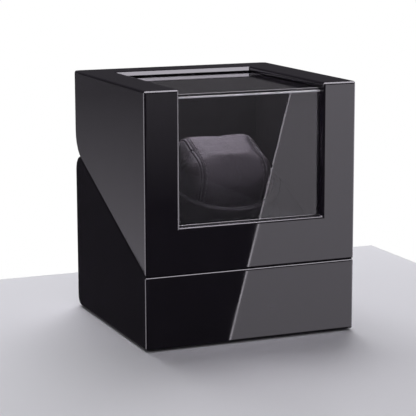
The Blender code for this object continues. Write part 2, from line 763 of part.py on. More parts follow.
def add_controls():
    """The sunk rear panel with its power jack, rocker switch, knob and the board behind them."""
    back = PANEL_FACE_Y - PANEL_THICKNESS
    plate = add_box(
        "control_plate",
        (-PANEL_HALF_W + GAP, back, PANEL_LOW_Z + GAP),
        (PANEL_HALF_W - GAP, PANEL_FACE_Y, PANEL_HIGH_Z - GAP),
        "plastic",
    )
    for name, x, radius in (("jack_hole", JACK_X, 5 * MM), ("knob_hole", KNOB_X, 3.2 * MM)):
        mesh = turned_mesh(name, disc_outline(radius, -6 * MM, 2 * MM), 32)
        hole = add_cutter(name, mesh, None, (x, PANEL_FACE_Y, CONTROL_Z))
        hole.rotation_euler = (-math.pi / 2, 0, 0)
        cut(plate, hole)
    switch_half = (6.7 * MM, 4.7 * MM)
    cut(
        plate,
        box_cutter(
            "switch_hole",
            (-switch_half[0], back - MM, CONTROL_Z - switch_half[1]),
            (switch_half[0], PANEL_FACE_Y + MM, CONTROL_Z + switch_half[1]),
        ),
    )
    board_back = BOARD_Y + BOARD_THICKNESS
    add_box(
        "circuit_board",
        (BOARD_LOW[0], BOARD_Y, BOARD_LOW[1]),
        (BOARD_HIGH[0], board_back, BOARD_HIGH[1]),
        "board",
    )
    add_jack(board_back + GAP)
    add_switch(board_back + GAP, switch_half)
    add_knob(board_back + GAP, back)


def add_jack(behind):
    """A barrel socket for the power plug, with its centre pin and fixing nut."""
    face = PANEL_FACE_Y + GAP
    place = (JACK_X, 0, CONTROL_Z)
    body = 4.6 * MM
    nut = 6.4 * MM
    socket = 2.8 * MM
    floor = behind + 1.5 * MM
    outline = [(0, behind), (body, behind), (body, face), (nut, face)]
    outline += [(nut, face + 0.6 * MM), (nut - 0.4 * MM, face + MM), (socket + 0.3 * MM, face + MM)]
    outline += [(socket, face + 0.7 * MM), (socket, floor), (0, floor)]
    pin = [(0, floor + GAP), (MM, floor + GAP), (MM, face - 0.4 * MM), (0.6 * MM, face), (0, face)]
    for name, points, finish, segments in (
        ("dc_jack", outline, "plastic", 32),
        ("dc_jack_pin", pin, "brass", 16),
    ):
        piece = add_turned(name, points, finish, location=place, segments=segments)
        piece.rotation_euler = (-math.pi / 2, 0, 0)


def add_switch(behind, half):
    """A rocker switch: a flanged body and a rocker that tips about X."""
    face = PANEL_FACE_Y + GAP
    sections = []
    for y, grow in ((behind, -GAP), (face, -GAP), (face, 1.4 * MM), (face + 0.9 * MM, 1.2 * MM)):
        x = half[0] + grow
        z = half[1] + grow
        sections.append([(-x, y, CONTROL_Z - z), (x, y, CONTROL_Z - z), (x, y, CONTROL_Z + z)])
        sections[-1].append((-x, y, CONTROL_Z + z))
    body = add_object("switch_body", loft_mesh("switch_body", sections), "plastic")
    well = box_cutter(
        "switch_well", (-5.3 * MM, 49 * MM, CONTROL_Z - 3.6 * MM), (5.3 * MM, HALF_D, CONTROL_Z + 3.6 * MM)
    )
    cut(body, well)
    reach = 3.1 * MM
    rocker = [(2.6 * MM, -reach), (2.0 * MM, 0), (2.6 * MM, reach), (0.4 * MM, reach), (-2.6 * MM, MM)]
    rocker += [(-2.6 * MM, -MM), (0.4 * MM, -reach)]
    piece = add_prism("switch_rocker", rocker, -5.0 * MM, 5.0 * MM, "plastic")
    piece.location = (0, SWITCH_TILT_Y, CONTROL_Z)


def add_knob(behind, plate_back):
    """A knob on its shaft, and the rotary control it turns."""
    face = PANEL_FACE_Y + GAP
    shaft_low = plate_back + GAP / 2
    shaft = 2.6 * MM
    shoulder = face + 3.9 * MM
    top = face + 4.4 * MM
    outline = [(0, shaft_low), (shaft, shaft_low), (shaft, face), (6 * MM, face)]
    outline += [(5.7 * MM, shoulder), (5.2 * MM, top), (0, top)]
    knob = add_turned("program_knob", outline, "plastic", location=(KNOB_X, 0, CONTROL_Z), segments=36)
    knob.rotation_euler = (-math.pi / 2, 0, 0)
    mark = box_cutter(
        "knob_mark",
        (KNOB_X - 0.5 * MM, shoulder, CONTROL_Z + 1.2 * MM),
        (KNOB_X + 0.5 * MM, face + 6 * MM, CONTROL_Z + 8 * MM),
    )
    cut(knob, mark)
    body = disc_outline(6.5 * MM, behind, plate_back - GAP)
    control = add_turned("rotary_control", body, "steel", location=(KNOB_X, 0, CONTROL_Z), segments=24)
    control.rotation_euler = (-math.pi / 2, 0, 0)


def add_bottom():
    """The bottom plate with its four sunk screws, and four feet."""
    half_x = HALF_W - REBATE_WALL - GAP
    half_y = HALF_D - REBATE_WALL - GAP
    high = PLATE_LOW_Z + PLATE_THICKNESS
    plate = add_box("bottom_plate", (-half_x, -half_y, PLATE_LOW_Z), (half_x, half_y, high), "fibreboard")
    sink_top = PLATE_LOW_Z + 1.6 * MM
    sink = disc_outline(SCREW_HEAD_RADIUS + 0.4 * MM, 0, sink_top)
    head_low = PLATE_LOW_Z + 0.2 * MM
    head = [(0, head_low), (SCREW_HEAD_RADIUS - 0.4 * MM, head_low)]
    head += [(SCREW_HEAD_RADIUS, head_low + 0.4 * MM), (SCREW_HEAD_RADIUS, sink_top - GAP)]
    head.append((0, sink_top - GAP))
    foot = [(0, 0), (FOOT_RADIUS - 0.4 * MM, 0), (FOOT_RADIUS, 0.4 * MM)]
    foot += [(FOOT_RADIUS, PLATE_LOW_Z - GAP), (0, PLATE_LOW_Z - GAP)]
    for row, y_side in (("front", -1), ("rear", 1)):
        for side, x_side in (("left", -1), ("right", 1)):
            screw_at = (x_side * SCREW_X, y_side * SCREW_Y, 0)
            name = f"screw_sink_{row}_{side}"
            cut(plate, add_cutter(name, turned_mesh(name, sink, 20), None, screw_at))
            add_turned(f"bottom_screw_{row}_{side}", head, "steel", location=screw_at, segments=20)
            foot_at = (x_side * FOOT_X, y_side * FOOT_Y, 0)
            add_turned(f"foot_{row}_{side}", foot, "rubber", location=foot_at, segments=32)


def build():
    """Clears the scene and builds the winder box."""
    for piece in list(bpy.data.objects):
        bpy.data.objects.remove(piece, do_unlink=True)
    deck = add_empty("deck_frame", (0, ROTOR_AXIS_Y, split_z(ROTOR_AXIS_Y)), SPLIT_ANGLE)
    base_shell = add_base_shell()
    lid_shell = add_lid_shell()
    cut_hinge_slots(base_shell, lid_shell)
    add_hinge("left", -HINGE_X)
    add_hinge("right", HINGE_X)
    add_magnets(deck, base_shell, lid_shell)
    add_lid_linings(*add_panes())
    add_deck(deck)
    add_rotor(deck)
    add_cushion(deck)
    add_drive(deck)
    add_controls()
    add_bottom()


build()
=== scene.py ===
"""Looks for the watch winder box: its finishes, its stitched cushion, and the studio round it.

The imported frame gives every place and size. Metres, +Z up, the front faces -Y.
"""

import json
import math

import bmesh
import bpy
from mathutils import Matrix, Vector, noise
from mathutils.bvhtree import BVHTree


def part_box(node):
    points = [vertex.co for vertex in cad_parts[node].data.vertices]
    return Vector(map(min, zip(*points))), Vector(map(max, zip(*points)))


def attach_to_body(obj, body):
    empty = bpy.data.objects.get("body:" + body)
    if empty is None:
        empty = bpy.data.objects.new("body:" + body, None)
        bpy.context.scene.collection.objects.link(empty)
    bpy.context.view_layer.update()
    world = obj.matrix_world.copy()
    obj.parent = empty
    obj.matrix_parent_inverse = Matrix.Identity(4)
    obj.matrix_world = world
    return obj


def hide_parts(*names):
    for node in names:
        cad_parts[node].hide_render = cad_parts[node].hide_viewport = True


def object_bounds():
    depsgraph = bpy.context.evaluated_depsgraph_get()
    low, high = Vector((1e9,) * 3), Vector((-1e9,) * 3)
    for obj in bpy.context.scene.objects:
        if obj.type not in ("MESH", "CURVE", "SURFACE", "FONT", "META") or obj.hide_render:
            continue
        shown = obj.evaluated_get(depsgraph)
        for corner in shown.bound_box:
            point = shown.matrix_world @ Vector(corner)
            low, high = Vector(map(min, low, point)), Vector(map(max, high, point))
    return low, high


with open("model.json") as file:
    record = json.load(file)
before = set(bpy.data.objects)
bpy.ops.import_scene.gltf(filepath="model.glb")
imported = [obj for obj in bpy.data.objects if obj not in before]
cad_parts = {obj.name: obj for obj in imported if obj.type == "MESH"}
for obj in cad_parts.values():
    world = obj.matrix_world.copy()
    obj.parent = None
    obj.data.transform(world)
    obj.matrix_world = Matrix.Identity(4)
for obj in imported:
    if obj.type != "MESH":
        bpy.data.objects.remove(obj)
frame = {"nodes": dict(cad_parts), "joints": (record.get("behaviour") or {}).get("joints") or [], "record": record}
cad_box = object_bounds()

MM = 0.001
NODES = frame["nodes"]
LOW, HIGH = (Vector(corner) for corner in cad_box)
JOINTS = {joint["name"]: joint for joint in frame["joints"]}


# The view --------------------------------------------------------------------------------------------

CAMERA_AT = Vector((-0.35965, -0.86406, 0.23882))
CAMERA_HEADING = math.radians(22.53)
CAMERA_DIP = math.radians(10.53)
CAMERA_ROLL = math.radians(-0.184)
LENS_MM = 141.93
SENSOR_MM = 36


def add_camera():
    """The camera, from its place, heading, dip and roll."""
    sin_h, cos_h = math.sin(CAMERA_HEADING), math.cos(CAMERA_HEADING)
    sin_d, cos_d = math.sin(CAMERA_DIP), math.cos(CAMERA_DIP)
    forward = Vector((sin_h * cos_d, cos_h * cos_d, -sin_d))
    level = Vector((cos_h, -sin_h, 0))
    upright = Vector((sin_h * sin_d, cos_h * sin_d, cos_d))
    right = level * math.cos(CAMERA_ROLL) + upright * math.sin(CAMERA_ROLL)
    up = upright * math.cos(CAMERA_ROLL) - level * math.sin(CAMERA_ROLL)
    turn = Matrix((right, up, -forward)).transposed()
    data = bpy.data.cameras.new("camera")
    data.lens = LENS_MM
    data.sensor_width = SENSOR_MM
    data.clip_start = 0.01
    camera = bpy.data.objects.new("camera", data)
    camera.matrix_world = Matrix.Translation(CAMERA_AT) @ turn.to_4x4()
    bpy.context.scene.collection.objects.link(camera)
    bpy.context.scene.camera = camera


# Node helpers ----------------------------------------------------------------------------------------


def new_material(name, colour, roughness, metallic=0.0, **settings):
    """A Principled material. Settings are plain values for its other inputs, by name with _ for spaces."""
    material = bpy.data.materials.new(name)
    material.use_nodes = True
    shader = material.node_tree.nodes["Principled BSDF"]
    shader.inputs["Base Color"].default_value = (*colour, 1.0)
    shader.inputs["Roughness"].default_value = roughness
    shader.inputs["Metallic"].default_value = metallic
    for key, value in settings.items():
        shader.inputs[key.replace("_", " ")].default_value = value
    return material


def add_node(material, kind, inputs=None, **settings):
    """One node, with its settings, and its inputs as plain values or as the sockets that feed them."""
    tree = material.node_tree
    node = tree.nodes.new(kind)
    for key, value in settings.items():
        setattr(node, key, value)
    for key, value in (inputs or {}).items():
        if isinstance(value, bpy.types.NodeSocket):
            tree.links.new(value, node.inputs[key])
        else:
            node.inputs[key].default_value = value
    return node


def place_of(material, stretch=(1, 1, 1)):
    """The piece's own coordinates in metres, stretched along its axes."""
    where = add_node(material, "ShaderNodeTexCoord")
    mapping = add_node(material, "ShaderNodeMapping", {"Vector": where.outputs["Object"], "Scale": stretch})
    return mapping.outputs["Vector"]


def noise_of(material, per_metre, detail=4.0, stretch=(1, 1, 1), rough=0.5):
    """Smooth noise with so many waves to the metre."""
    inputs = {"Vector": place_of(material, stretch), "Scale": per_metre}
    inputs.update({"Detail": detail, "Roughness": rough})
    return add_node(material, "ShaderNodeTexNoise", inputs).outputs["Fac"]


def cells_of(material, per_metre, feature="F1"):
    """Distance within a pattern of cells, so many to the metre."""
    inputs = {"Vector": place_of(material), "Scale": per_metre}
    return add_node(material, "ShaderNodeTexVoronoi", inputs, feature=feature).outputs["Distance"]


def ramp(material, value, low, high, out_low=0.0, out_high=1.0):
    """Maps a range of a value onto another range, clamped."""
    inputs = {"Value": value, "From Min": low, "From Max": high, "To Min": out_low, "To Max": out_high}
    return add_node(material, "ShaderNodeMapRange", inputs).outputs["Result"]


def blend_colour(material, amount, first, second):
    """A mix of two colours."""
    node = add_node(material, "ShaderNodeMix", data_type="RGBA")
    node.inputs["A"].default_value = (*first, 1.0)
    node.inputs["B"].default_value = (*second, 1.0)
    material.node_tree.links.new(amount, node.inputs["Factor"])
    return next(out for out in node.outputs if out.type == "RGBA")


def total(material, *values):
    """The sum of several values."""
    result = values[0]
    for value in values[1:]:
        node = add_node(material, "ShaderNodeMath", operation="ADD")
        material.node_tree.links.new(result, node.inputs[0])
        material.node_tree.links.new(value, node.inputs[1])
        result = node.outputs[0]
    return result


def set_input(material, name, socket):
    """Feeds one input of the material's shader."""
    shader = material.node_tree.nodes["Principled BSDF"]
    material.node_tree.links.new(socket, shader.inputs[name])


def vary_colour(material, amount, first, second):
    """Blends the base colour between two colours."""
    set_input(material, "Base Color", blend_colour(material, amount, first, second))


def set_bump(material, height, strength, depth):
    """Relief from a height between 0 and 1, so many metres deep."""
    inputs = {"Height": height, "Strength": strength, "Distance": depth}
    set_input(material, "Normal", add_node(material, "ShaderNodeBump", inputs).outputs["Normal"])


# Finishes --------------------------------------------------------------------------------------------


def lacquer():
    """Black piano lacquer: deep gloss with faint polishing haze and a trace of orange peel."""
    material = new_material("lacquer", (0.010, 0.008, 0.012), 0.03, IOR=1.5)
    haze = noise_of(material, 45, detail=6)
    swirl = noise_of(material, 260, detail=2, stretch=(0.15, 1, 6))
    vary_colour(material, haze, (0.009, 0.007, 0.012), (0.016, 0.013, 0.019))
    haze_roughness = ramp(material, haze, 0.35, 0.75, 0.008, 0.022)
    swirl_roughness = ramp(material, swirl, 0.6, 0.8, 0.0, 0.01)
    set_input(material, "Roughness", total(material, haze_roughness, swirl_roughness))
    peel = noise_of(material, 330, detail=1)
    set_bump(material, peel, 1.0, 0.0000001)
    return material


def pane_glass():
    """Clear polished acrylic with the faintest smears."""
    material = new_material("pane_acrylic", (0.90, 0.85, 0.93), 0.0, IOR=1.40, Transmission_Weight=1.0)
    smear = noise_of(material, 38, detail=5, stretch=(1, 1, 2.5))
    set_input(material, "Roughness", ramp(material, smear, 0.55, 0.85, 0.0, 0.012))
    return material


def velvet():
    """Black short-pile velvet: soft sheen, and pile that lies in patches."""
    material = new_material(
        "velvet", (0.01, 0.0095, 0.011), 0.95, Sheen_Weight=0.08, Sheen_Roughness=0.4, IOR=1.2
    )
    patches = noise_of(material, 85, detail=3)
    fibres = noise_of(material, 4200, detail=2)
    patch_tone = ramp(material, patches, 0.3, 0.7, 0.0, 0.6)
    fibre_tone = ramp(material, fibres, 0.3, 0.7, 0.0, 0.4)
    tone = total(material, patch_tone, fibre_tone)
    vary_colour(material, tone, (0.0025, 0.0023, 0.003), (0.010, 0.0095, 0.0115))
    set_bump(material, fibres, 0.5, 0.0002)
    return material


def gloss_black(name, colour, roughness):
    """A polished black moulding."""
    material = new_material(name, colour, roughness)
    cloud = noise_of(material, 120, detail=5)
    set_input(material, "Roughness", ramp(material, cloud, 0.3, 0.8, roughness * 0.7, roughness * 1.6))
    set_bump(material, noise_of(material, 900, detail=2), 0.05, 0.00003)
    return material


def textured_plastic():
    """Black moulding with a fine spark-eroded grain."""
    material = new_material("textured_plastic", (0.018, 0.018, 0.020), 0.5)
    grain = noise_of(material, 3800, detail=3)
    cloud = noise_of(material, 150)
    vary_colour(material, cloud, (0.013, 0.013, 0.0145), (0.024, 0.024, 0.027))
    set_input(material, "Roughness", ramp(material, grain, 0.3, 0.7, 0.42, 0.6))
    set_bump(material, grain, 0.35, 0.00008)
    return material


def satin_black():
    """The pane frames' satin black paint."""
    material = new_material("satin_black", (0.008, 0.008, 0.009), 0.35)
    spray = noise_of(material, 2200, detail=3)
    set_input(material, "Roughness", ramp(material, spray, 0.3, 0.7, 0.28, 0.42))
    set_bump(material, spray, 0.15, 0.00004)
    return material


def leather():
    """Soft black leather: a pebbled grain with finer creases between the pebbles."""
    material = new_material("cushion_leather", (0.02, 0.018, 0.02), 0.42, Specular_IOR_Level=0.5)
    pebbles = cells_of(material, 1150)
    creases = cells_of(material, 2600, feature="DISTANCE_TO_EDGE")
    tone = noise_of(material, 140, detail=5)
    vary_colour(material, tone, (0.008, 0.007, 0.009), (0.018, 0.016, 0.019))
    set_input(material, "Roughness", ramp(material, pebbles, 0.0, 0.9, 0.30, 0.52))
    pebble_height = ramp(material, pebbles, 0.0, 0.9, 0.7, 0.0)
    crease_height = ramp(material, creases, 0.0, 0.25, 0.0, 0.3)
    set_bump(material, total(material, pebble_height, crease_height), 0.6, 0.00025)
    return material


def thread():
    """Twisted black thread, slightly lighter than the leather."""
    material = new_material("thread", (0.06, 0.058, 0.062), 0.6)
    twist = noise_of(material, 5200, detail=1)
    vary_colour(material, twist, (0.035, 0.033, 0.036), (0.10, 0.097, 0.10))
    set_bump(material, twist, 0.4, 0.0001)
    return material


def brushed_metal(name, colour, roughness, stretch=(1, 1, 25)):
    """Metal with fine lines along one way and slight tarnish."""
    material = new_material(name, colour, roughness, 1.0)
    lines = noise_of(material, 900, detail=3, stretch=stretch)
    tarnish = noise_of(material, 110, detail=4)
    darker = tuple(c * 0.72 for c in colour)
    vary_colour(material, tarnish, darker, colour)
    set_input(material, "Roughness", ramp(material, lines, 0.3, 0.7, roughness * 0.75, roughness * 1.35))
    set_bump(material, lines, 0.12, 0.00003)
    return material


def rubber():
    """Matte black rubber with a dusty bloom."""
    material = new_material("rubber", (0.02, 0.02, 0.02), 0.85)
    bloom = noise_of(material, 320, detail=5)
    vary_colour(material, bloom, (0.012, 0.012, 0.012), (0.035, 0.034, 0.033))
    set_bump(material, noise_of(material, 2600), 0.3, 0.0001)
    return material


def board():
    """A green solder mask over copper tracks."""
    material = new_material("circuit_board", (0.015, 0.09, 0.035), 0.35)
    tracks = noise_of(material, 420, detail=0, stretch=(1, 1, 0.12))
    vary_colour(material, ramp(material, tracks, 0.48, 0.5), (0.010, 0.07, 0.028), (0.03, 0.15, 0.06))
    set_bump(material, ramp(material, tracks, 0.47, 0.51), 0.3, 0.00006)
    return material


def fibreboard():
    """Sealed dark fibreboard with a felted, flecked surface."""
    material = new_material("fibreboard", (0.03, 0.028, 0.027), 0.8)
    flecks = noise_of(material, 1500, detail=6, rough=0.7)
    vary_colour(material, flecks, (0.018, 0.016, 0.015), (0.055, 0.048, 0.042))
    set_bump(material, flecks, 0.3, 0.00012)
    return material


def printed_white():
    """Thin white marks, slightly uneven at the edges."""
    material = new_material("printed_marks", (0.55, 0.55, 0.56), 0.5)
    worn = noise_of(material, 1700, detail=4)
    vary_colour(material, worn, (0.42, 0.42, 0.43), (0.66, 0.66, 0.67))
    return material


def make_finishes():
    """The material for each of the record's slots, and for the pieces added here."""
    return {
        "lacquer": lacquer(),
        "pane": pane_glass(),
        "frame_black": satin_black(),
        "velvet": velvet(),
        "trim_gloss": gloss_black("deck_trim", (0.008, 0.008, 0.009), 0.12),
        "cup_gloss": gloss_black("cup_moulding", (0.010, 0.010, 0.011), 0.18),
        "black_plastic": textured_plastic(),
        "cushion_leather": leather(),
        "steel": brushed_metal("zinc_steel", (0.52, 0.52, 0.54), 0.34),
        "hinge_steel": brushed_metal("nickel_steel", (0.62, 0.61, 0.60), 0.22, (25, 1, 1)),
        "brass": brushed_metal("turned_brass", (0.62, 0.46, 0.20), 0.25),
        "rubber": rubber(),
        "board": board(),
        "fibreboard": fibreboard(),
        "thread": thread(),
        "marks": printed_white(),
    }


# CAD nodes -------------------------------------------------------------------------------------------

WELD_REACH = 0.002 * MM
SAME_PLANE_DEGREES = 0.4
SHARP_DEGREES = 35
LARGEST_SMOOTH_FACE = 0.0004


def smoothing_group(name, degrees, largest):
    """Geometry nodes that shade small faces smooth, and keep large faces flat and steep edges sharp."""
    group = bpy.data.node_groups.new(name, "GeometryNodeTree")
    group.interface.new_socket("Geometry", in_out="INPUT", socket_type="NodeSocketGeometry")
    group.interface.new_socket("Geometry", in_out="OUTPUT", socket_type="NodeSocketGeometry")
    start = group.nodes.new("NodeGroupInput")
    end = group.nodes.new("NodeGroupOutput")
    area = group.nodes.new("GeometryNodeInputMeshFaceArea")
    small = group.nodes.new("FunctionNodeCompare")
    small.operation = "LESS_THAN"
    small.inputs["B"].default_value = largest
    faces = group.nodes.new("GeometryNodeSetShadeSmooth")
    faces.domain = "FACE"
    angle = group.nodes.new("GeometryNodeInputMeshEdgeAngle")
    steep = group.nodes.new("FunctionNodeCompare")
    steep.operation = "GREATER_THAN"
    steep.inputs["B"].default_value = math.radians(degrees)
    edges = group.nodes.new("GeometryNodeSetShadeSmooth")
    edges.domain = "EDGE"
    edges.inputs["Shade Smooth"].default_value = False
    group.links.new(area.outputs["Area"], small.inputs["A"])
    group.links.new(small.outputs["Result"], faces.inputs["Shade Smooth"])
    group.links.new(angle.outputs["Unsigned Angle"], steep.inputs["A"])
    group.links.new(steep.outputs["Result"], edges.inputs["Selection"])
    group.links.new(start.outputs[0], faces.inputs["Geometry"])
    group.links.new(faces.outputs[0], edges.inputs["Geometry"])
    group.links.new(edges.outputs[0], end.inputs[0])
    return group


def dress_nodes(finishes, smoothing):
    """Gives every CAD node its finish, joins its facets and shades its round faces smooth."""
    slots = {part["node"]: part["material_slot"] for part in frame["record"]["subparts"]}
    for name, node in NODES.items():
        node.data.materials.clear()
        node.data.materials.append(finishes[slots[name]])
        weld = node.modifiers.new("join_facets", "WELD")
        weld.merge_threshold = WELD_REACH
        merge = node.modifiers.new("whole_faces", "DECIMATE")
        merge.decimate_type = "DISSOLVE"
        merge.angle_limit = math.radians(SAME_PLANE_DEGREES)
        smooth = node.modifiers.new("smooth", "NODES")
        smooth.node_group = smoothing
    for name in ("front_pane", "top_pane"):
        NODES[name].visible_shadow = False


# Shapes ----------------------------------------------------------------------------------------------

SIDEWAYS = Vector((1, 0, 0))


def new_piece(name, bm, material, placement=None):
    """Links a bmesh as a smooth piece, moved by a placement."""
    bmesh.ops.recalc_face_normals(bm, faces=bm.faces)
    mesh = bpy.data.meshes.new(name)
    bm.to_mesh(mesh)
    bm.free()
    mesh.shade_smooth()
    mesh.materials.append(material)
    piece = bpy.data.objects.new(name, mesh)
    bpy.context.scene.collection.objects.link(piece)
    if placement is not None:
        mesh.transform(placement)
    return piece


def attach(piece, body):
    """Says which body the piece moves with."""
    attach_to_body(piece, body)


def circle(bm, centre, first, second, radius, sides):
    """Vertices round a centre, in the plane of two directions."""
    turns = [2 * math.pi * k / sides for k in range(sides)]
    return [bm.verts.new(centre + (first * math.cos(t) + second * math.sin(t)) * radius) for t in turns]


def skin(bm, rings, closed=False):
    """Joins rings of vertices into a tube that closes on itself or is capped at both ends."""
    count = len(rings[0])
    following = rings[1:] + rings[:1] if closed else rings[1:]
    for ring, after in zip(rings, following):
        for k in range(count):
            j = (k + 1) % count
            bm.faces.new((ring[k], ring[j], after[j], after[k]))
    if not closed:
        bm.faces.new(rings[0])
        bm.faces.new(rings[-1])


# The cushion -----------------------------------------------------------------------------------------

DECK_TILT = math.atan2(-JOINTS["rotor_turn"]["axis"][1], JOINTS["rotor_turn"]["axis"][2])
DECK_AT = Vector(JOINTS["rotor_turn"]["pos_m"])
DECK = Matrix.Translation(DECK_AT) @ Matrix.Rotation(DECK_TILT, 4, "X")
CUSHION_HALF = Vector((27, 22, 19)) * MM
CUSHION_MIDDLE = 23 * MM
CUSHION_ROUNDING = 13 * MM
CUSHION_START = 1.1 * MM
CUSHION_SWELL = 1.0 * MM
SEAM_X = 19.5 * MM
SEAM_DEPTH = 0.9 * MM
SEAM_WIDTH = 0.75 * MM
PUCKERS = 46
PUCKER_WIDTH = 3 * MM
PUCKER_DEPTH = 0.12 * MM
WRINKLES = ((160, 0.16 * MM), (420, 0.05 * MM))
PIPING_RADIUS = 0.75 * MM
PIPING_LIFT = PIPING_RADIUS * 0.45
PIPING_POINTS = 150
PIPING_SIDES = 8
STITCH_COUNT = 48
STITCH_SIDES = 6
STITCH_OFFSET = 2.2 * MM
# Along one stitch: the share of its length, then its lift and its radius in millimetres.
STITCH_PROFILE = (
    (-0.1, -0.1, 0.08),
    (0.05, 0.16, 0.2),
    (0.5, 0.24, 0.24),
    (0.95, 0.16, 0.2),
    (1.1, -0.1, 0.08),
)
# The cloth solver works on a cushion this many times life size, on an even mesh of this spacing.
SIM_SCALE = 10
SIM_FRAMES = 20
SIM_SPACING = 0.011
BLOCK_CUTS = 15
# From here inward, a ray finds the cushion's surface.
RAY_REACH = 60 * MM


def rounded_block(half, radius, cuts):
    """A finely divided block whose edges are rounded, about its own middle."""
    bm = bmesh.new()
    bmesh.ops.create_cube(bm, size=2.0)
    bmesh.ops.subdivide_edges(bm, edges=bm.edges[:], cuts=cuts, use_grid_fill=True)
    for vert in bm.verts:
        place = Vector(vert.co[i] * half[i] for i in range(3))
        core = Vector(max(-half[i] + radius, min(half[i] - radius, place[i])) for i in range(3))
        reach = place - core
        vert.co = core + reach.normalized() * radius
    return bm


def inflate(piece, cap):
    """Swells the piece as cloth under pressure, and lets no point move further than the cap."""
    before = [vert.co.copy() for vert in piece.data.vertices]
    cloth = piece.modifiers.new("swell", "CLOTH")
    cloth.settings.use_pressure = True
    cloth.settings.uniform_pressure_force = 4
    cloth.settings.effector_weights.gravity = 0
    cloth.settings.tension_stiffness = 12
    cloth.settings.bending_stiffness = 0.6
    cloth.settings.shrink_min = -0.015
    scene = bpy.context.scene
    for number in range(1, SIM_FRAMES + 1):
        scene.frame_set(number)
    evaluated = piece.evaluated_get(bpy.context.evaluated_depsgraph_get())
    after = [vert.co.copy() for vert in evaluated.data.vertices]
    piece.modifiers.remove(cloth)
    scene.frame_set(1)
    for vert, start, end in zip(piece.data.vertices, before, after):
        move = end - start
        vert.co = start + move * min(1.0, cap / max(move.length, 1e-9))


def sew(point):
    """Draws the cover in along the two seams, with small puckers along each."""
    distance = abs(abs(point.x) - SEAM_X)
    pinch = math.exp(-((distance / SEAM_WIDTH) ** 2))
    across = math.atan2(point.z, point.y)
    pucker = math.sin(across * PUCKERS) * math.exp(-((distance / PUCKER_WIDTH) ** 2)) * PUCKER_DEPTH
    outward = Vector((0, point.y, point.z)).normalized()
    return point - outward * (SEAM_DEPTH * pinch + pucker)


def make_cushion(finishes):
    """The watch cushion: a crowned leather block, cloth-swelled, with two piped and stitched seams."""
    half = CUSHION_HALF - Vector((CUSHION_START,) * 3)
    rounding = CUSHION_ROUNDING - CUSHION_START
    bm = rounded_block([side * SIM_SCALE for side in half], rounding * SIM_SCALE, BLOCK_CUTS)
    cushion = new_piece("cushion_cover", bm, finishes["cushion_leather"])
    remesh = cushion.modifiers.new("even_mesh", "REMESH")
    remesh.mode = "VOXEL"
    remesh.voxel_size = SIM_SPACING
    evaluated = cushion.evaluated_get(bpy.context.evaluated_depsgraph_get())
    even = bpy.data.meshes.new_from_object(evaluated)
    cushion.modifiers.clear()
    cushion.data = even
    inflate(cushion, CUSHION_SWELL * SIM_SCALE)
    for vert in cushion.data.vertices:
        place = vert.co / SIM_SCALE
        wrinkle = sum(noise.noise(place * per_metre) * depth for per_metre, depth in WRINKLES)
        vert.co = sew(place) * (1 + wrinkle / place.length)
    bm = bmesh.new()
    bm.from_mesh(cushion.data)
    tree = BVHTree.FromBMesh(bm)
    bm.free()
    cushion.data.shade_smooth()
    soften = cushion.modifiers.new("soften", "SUBSURF")
    soften.levels = 1
    soften.render_levels = 1
    placement = DECK @ Matrix.Translation((0, 0, CUSHION_MIDDLE))
    cushion.data.transform(placement)
    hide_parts("watch_cushion")
    attach(cushion, "cushion")
    for side, sign in (("left", -1), ("right", 1)):
        add_piping(f"cushion_piping_{side}", tree, sign * SEAM_X, placement, finishes)
        add_stitches(f"cushion_stitches_{side}", tree, sign * (SEAM_X - STITCH_OFFSET), placement, finishes)


def loop_on(tree, x, count, lift):
    """Points round the cushion at one x, lifted off its surface, with the surface's normals."""
    points = []
    for i in range(count):
        angle = 2 * math.pi * i / count
        ray = Vector((0, math.cos(angle), math.sin(angle)))
        hit, normal, _, _ = tree.ray_cast(Vector((x, 0, 0)) + ray * RAY_REACH, -ray)
        outward = Vector((0, normal.y, normal.z)).normalized()
        points.append((hit + outward * lift, outward))
    return points


def add_piping(name, tree, x, placement, finishes):
    """A leather-covered cord laid in a seam."""
    bm = bmesh.new()
    points = loop_on(tree, x, PIPING_POINTS, PIPING_LIFT)
    rings = [circle(bm, point, outward, SIDEWAYS, PIPING_RADIUS, PIPING_SIDES) for point, outward in points]
    skin(bm, rings, closed=True)
    attach(new_piece(name, bm, finishes["cushion_leather"], placement), "cushion")


def add_stitches(name, tree, x, placement, finishes):
    """A row of lock stitches beside a seam, each a short thread that dips at both ends."""
    points = loop_on(tree, x, STITCH_COUNT * 2, 0.0)
    bm = bmesh.new()
    for i in range(STITCH_COUNT):
        start, first_out = points[2 * i]
        end, last_out = points[2 * i + 1]
        along = end - start
        outward = (first_out + last_out).normalized()
        rings = []
        for share, lift, radius in STITCH_PROFILE:
            centre = start + along * share + outward * lift * MM
            rings.append(circle(bm, centre, outward, SIDEWAYS, radius * MM, STITCH_SIDES))
        skin(bm, rings)
    attach(new_piece(name, bm, finishes["thread"], placement), "cushion")


# Small details ---------------------------------------------------------------------------------------

WINDOW_SILL_Z = 67.2 * MM
WINDOW_REAR_Y = 40.3 * MM
BEAD_RADIUS = 0.55 * MM
EDGE_BEAD_RADIUS = 0.44 * MM
BEAD_HALF_LENGTH = 42.2 * MM
BEAD_BEHIND_FACE = 0.11 * MM
EDGE_BEAD_INSET = 0.1 * MM
SILL_BEAD_RISE = 0.3 * MM
BEAD_SIDES = 10
BEAD_END_STEPS = 5
TRIM_FOOT = 1.2 * MM
TRIM_LIP = 0.1 * MM
TRIM_HEIGHT = 1.6 * MM
TRIM_OVER_PANE = 0.9 * MM
TRIM_OFF_WALL = 0.02 * MM
MARK_HALF_THICKNESS = 0.05 * MM
TICK_COUNT = 7
TICK_SWEEP = math.radians(270)
TICK_RADIUS = 8.0 * MM
TICK_HALF = (0.25 * MM, MARK_HALF_THICKNESS, 0.7 * MM)
POINTER_HALF = (0.38 * MM, 0.1 * MM, 1.7 * MM)
POINTER_UP = 3.4 * MM
POINTER_SUNK = 0.42 * MM
